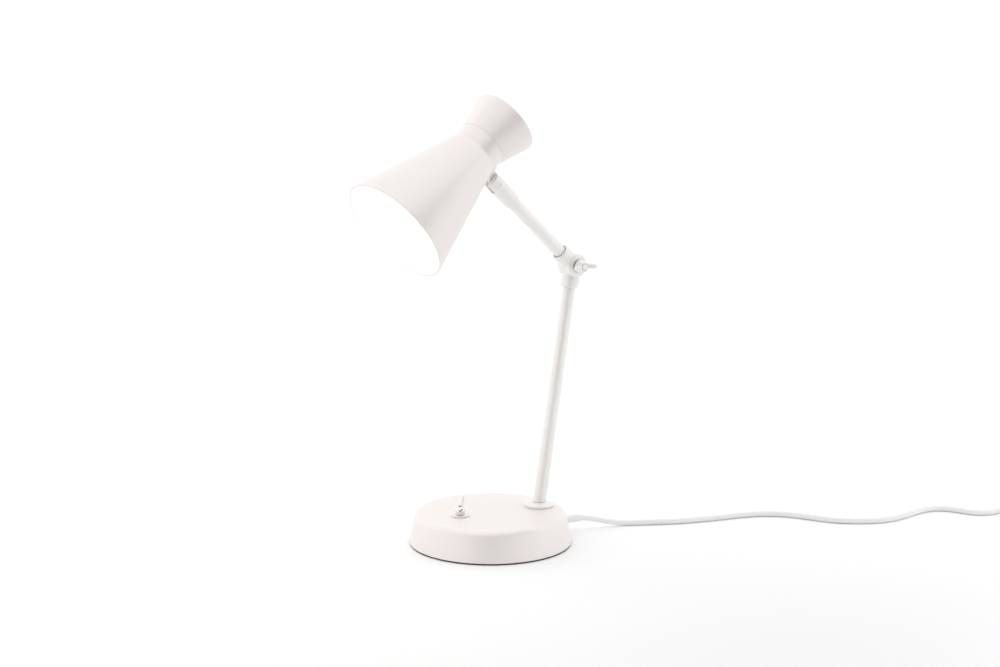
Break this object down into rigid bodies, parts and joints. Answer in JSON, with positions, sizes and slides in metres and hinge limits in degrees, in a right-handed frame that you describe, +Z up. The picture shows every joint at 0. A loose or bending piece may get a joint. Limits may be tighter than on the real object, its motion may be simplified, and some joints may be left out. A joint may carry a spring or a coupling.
{
  "type": "swing arm desk lamp",
  "caption": "Desk lamp with a round weighted base, a leaning stem, an elbow clamped by a wing nut, a short forked arm and a waisted metal shade.",
  "frame": {"origin": "centre of the base on the surface it stands on", "axes": "+Z up; the shade points along -Y; +X is the wing nut's side. The base is turned 14 degrees about Z from the arms."},
  "size_m": [0.4442, 0.6822, 0.416],
  "materials": {
    "matt_white_paint": "fine matt powder coat",
    "satin_white_paint": "satin paint",
    "chrome": "bright plated",
    "zinc_steel": "zinc plated",
    "brass": "plain",
    "cast_iron": "as cast",
    "black_plastic": "moulded",
    "white_plastic": "moulded PVC",
    "pad_rubber": "foam rubber sheet",
    "opal_glass": "opal"
  },
  "bodies": {
    "base": {"foot_pad": "pad_rubber", "bottom_plate": "zinc_steel", "plate_screw_1": "zinc_steel", "plate_screw_2": "zinc_steel", "plate_screw_3": "zinc_steel", "base_shell": "matt_white_paint", "ballast": "cast_iron", "switch_body": "black_plastic", "switch_bushing": "zinc_steel", "switch_washer": "matt_white_paint", "switch_nut": "chrome", "terminal_block": "white_plastic", "base_lead": "white_plastic", "cord_clamp": "black_plastic", "clamp_screw_1": "zinc_steel", "clamp_screw_2": "zinc_steel", "cord_gland": "white_plastic", "slip_ring": "white_plastic", "mains_cord": "white_plastic", "cord_coil": "white_plastic", "coil_tie": "black_plastic", "plug_body": "white_plastic", "plug_pin_1": "chrome", "plug_pin_2": "chrome"},
    "lever": {"switch_lever": "chrome"},
    "stem": {"stem_foot": "satin_white_paint", "swivel_washer": "zinc_steel", "swivel_nut": "zinc_steel", "stem_tube": "satin_white_paint", "stem_lead": "white_plastic", "lower_knuckle": "satin_white_paint", "lower_collar": "satin_white_paint", "elbow_bolt": "satin_white_paint"},
    "wing_nut": {"wing_nut": "satin_white_paint"},
    "arm": {"friction_washer": "white_plastic", "spring_washer": "zinc_steel", "upper_knuckle": "satin_white_paint", "upper_collar": "satin_white_paint", "arm_tube": "satin_white_paint", "arm_lead": "white_plastic", "fork_sleeve": "satin_white_paint", "pivot_pin": "satin_white_paint", "pivot_nut": "satin_white_paint"},
    "head": {"neck_tongue": "satin_white_paint", "neck_ring": "matt_white_paint", "shade_front": "matt_white_paint", "shade_rear": "matt_white_paint", "holder_carrier": "zinc_steel", "rear_nipple": "zinc_steel", "rear_cap": "matt_white_paint", "rear_cap_nut": "satin_white_paint", "lamp_holder": "white_plastic", "holder_contact": "brass", "bulb_cap": "brass", "bulb_glass": "opal_glass"}
  },
  "joints": [
    {"name": "stem_swivel", "type": "hinge", "parent": "base", "child": "stem", "pos_m": [0.01195, 0.04793, 0.029], "axis": [0, 0, 1], "range_deg": [-175, 150]},
    {"name": "elbow", "type": "hinge", "parent": "stem", "child": "arm", "pos_m": [0.01195, 0.08705, 0.25311], "axis": [1, 0, 0], "range_deg": [-75, 50]},
    {"name": "head_tilt", "type": "hinge", "parent": "arm", "child": "head", "pos_m": [0.01195, -0.00526, 0.3374], "axis": [1, 0, 0], "range_deg": [-50, 65]},
    {"name": "wing_nut_turn", "type": "hinge", "parent": "stem", "child": "wing_nut", "pos_m": [0.02595, 0.08705, 0.25311], "axis": [1, 0, 0], "range_deg": [-90, 360]},
    {"name": "switch_toggle", "type": "hinge", "parent": "base", "child": "lever", "pos_m": [-0.00738, -0.02959, 0.032], "axis": [0.9703, -0.2419, 0], "range_deg": [0, 24]}
  ]
}
